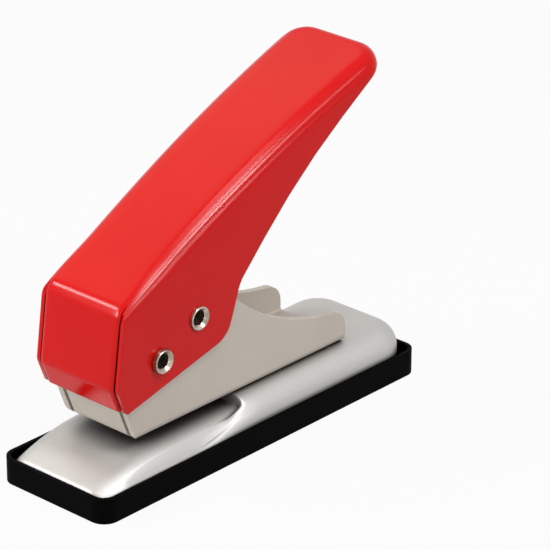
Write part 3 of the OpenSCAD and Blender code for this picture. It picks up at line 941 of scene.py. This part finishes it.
def floor():
    """White floor that keeps a faint shadow, and stays under the tray when that is pulled off."""
    half = FLOOR_HALF_M
    corners = [(-half, -half, 0), (half, -half, 0), (half, half, 0), (-half, half, 0)]
    mesh = bpy.data.meshes.new("floor")
    mesh.from_pydata(corners, [], [(0, 1, 2, 3)])
    floor_object = bpy.data.objects.new("floor", mesh)
    bpy.context.collection.objects.link(floor_object)
    material = bpy.data.materials.new("floor_white")
    material.use_nodes = True
    nodes = material.node_tree.nodes
    links = material.node_tree.links
    nodes.remove(nodes["Principled BSDF"])
    diffuse = nodes.new("ShaderNodeBsdfDiffuse")
    diffuse.inputs["Color"].default_value = (FLOOR_GREY, FLOOR_GREY, FLOOR_GREY, 1)
    glow = nodes.new("ShaderNodeEmission")
    share = nodes.new("ShaderNodeMath")
    share.operation = "MULTIPLY"
    share.inputs[1].default_value = FLOOR_WHITE
    links.new(background_rays(material.node_tree), share.inputs[0])
    blend = nodes.new("ShaderNodeMixShader")
    links.new(share.outputs[0], blend.inputs[0])
    links.new(diffuse.outputs[0], blend.inputs[1])
    links.new(glow.outputs[0], blend.inputs[2])
    links.new(blend.outputs[0], nodes["Material Output"].inputs["Surface"])
    mesh.materials.append(material)
    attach(floor_object, "tray")


def softbox(name, towards, distance, size, power, colour=(1, 1, 1)):
    """Area lamp aimed at the punch's middle from that direction, with its size along the punch first."""
    lamp = bpy.data.lights.new(name, "AREA")
    lamp.shape = "RECTANGLE"
    lamp.size, lamp.size_y = size
    lamp.energy = power
    lamp.color = colour
    lamp_object = bpy.data.objects.new(name, lamp)
    direction = Vector(towards).normalized()
    side = Vector((0, 1, 0)).cross(direction).normalized()
    turn = Matrix((side, direction.cross(side), direction)).transposed().to_4x4()
    target = Vector((0, 0, TARGET_Z * MM))
    lamp_object.matrix_world = Matrix.Translation(target + direction * distance) @ turn
    bpy.context.collection.objects.link(lamp_object)


def studio_light():
    world = bpy.data.worlds.new("studio")
    world.use_nodes = True
    nodes = world.node_tree.nodes
    nodes["Background"].inputs["Color"].default_value = (1, 1, 1, 1)
    strength = nodes.new("ShaderNodeMapRange")
    strength.inputs["To Min"].default_value = AMBIENT
    strength.inputs["To Max"].default_value = 1
    world.node_tree.links.new(background_rays(world.node_tree), strength.inputs["Value"])
    world.node_tree.links.new(strength.outputs["Result"], nodes["Background"].inputs["Strength"])
    bpy.context.scene.world = world
    # From the near side and from above
    softbox("near_box", towards=(0.09, -0.74, 0.66), distance=0.8, size=(0.15, 0.1), power=2.0)
    softbox("rear_box", towards=(0.27, -0.68, 0.68), distance=0.8, size=(0.18, 0.12), power=0.4)
    softbox("low_box", towards=(0.25, -0.92, 0.29), distance=0.8, size=(0.36, 0.09), power=0.95)
    softbox("middle_box", towards=(0.01, -0.53, 0.85), distance=0.8, size=(0.14, 0.22), power=1.9)
    softbox("over_box", towards=(-0.02, -0.14, 0.99), distance=0.8, size=(0.15, 0.42), power=1.1)
    # From the far side, with a warm tint, and from the front
    softbox("sky_box", towards=(0.06, 0.6, 0.8), distance=0.9, size=(0.6, 0.6), power=1.0,
            colour=(1, 0.9, 0.6))
    softbox("front_box", towards=(-0.83, 0.41, 0.38), distance=0.9, size=(0.3, 0.3), power=5.7)
    softbox("fold_box", towards=(-0.56, 0.61, 0.56), distance=0.9, size=(0.13, 0.2), power=2.0)
    softbox("key_box", towards=(-0.84, -0.48, 0.12), distance=0.9, size=(0.08, 0.1), power=0.8)


def photo_camera():
    """Camera found by fitting the tray and the folded edges in the photograph."""
    azimuth = math.radians(-47.6)
    elevation = math.radians(24.85)
    roll = math.radians(0.19)
    focal_px = 3440.8
    image_px = 550
    offset = Vector((-14.34, -35.68, 829.89)) * MM
    level = Vector((math.cos(azimuth), math.sin(azimuth), 0))
    outward = Vector((math.sin(azimuth), -math.cos(azimuth), 0))
    back = outward * math.cos(elevation) + Vector((0, 0, math.sin(elevation)))
    raised = back.cross(level)
    right = level * math.cos(roll) + raised * math.sin(roll)
    up = raised * math.cos(roll) - level * math.sin(roll)
    eye = back * offset.z - right * offset.x - up * offset.y
    camera = bpy.data.cameras.new("photo_camera")
    camera.sensor_width = 36
    camera.lens = focal_px / image_px * camera.sensor_width
    camera.clip_start = 0.05
    camera.clip_end = 20
    camera_object = bpy.data.objects.new("photo_camera", camera)
    bpy.context.collection.objects.link(camera_object)
    camera_object.matrix_world = Matrix.Translation(eye) @ Matrix((right, up, back)).transposed().to_4x4()
    bpy.context.scene.camera = camera_object


paint_cad_nodes()
folded_handle()
pressed_base()
coil_spring()
hollow_rivet("turned_pivot_rivet", "base", "pivot_rivet", PIVOT, PIVOT_HEAD)
hollow_rivet("turned_drive_rivet", "lever", "drive_rivet", DRIVE, DRIVE_HEAD)
domed_rivets("domed_frame_rivets", "frame_rivets", FRAME_SHANK_R, FRAME_HEAD_H, FRAME_TAIL_R, FRAME_TAIL_H)
domed_rivets("domed_guide_rivets", "guide_rivets", SMALL_SHANK_R, SMALL_HEAD_H)
domed_rivets("domed_die_rivets", "die_rivets", SMALL_SHANK_R, SMALL_HEAD_H, head_down=True)
floor()
studio_light()
photo_camera()
bpy.context.scene.view_settings.view_transform = "Standard"
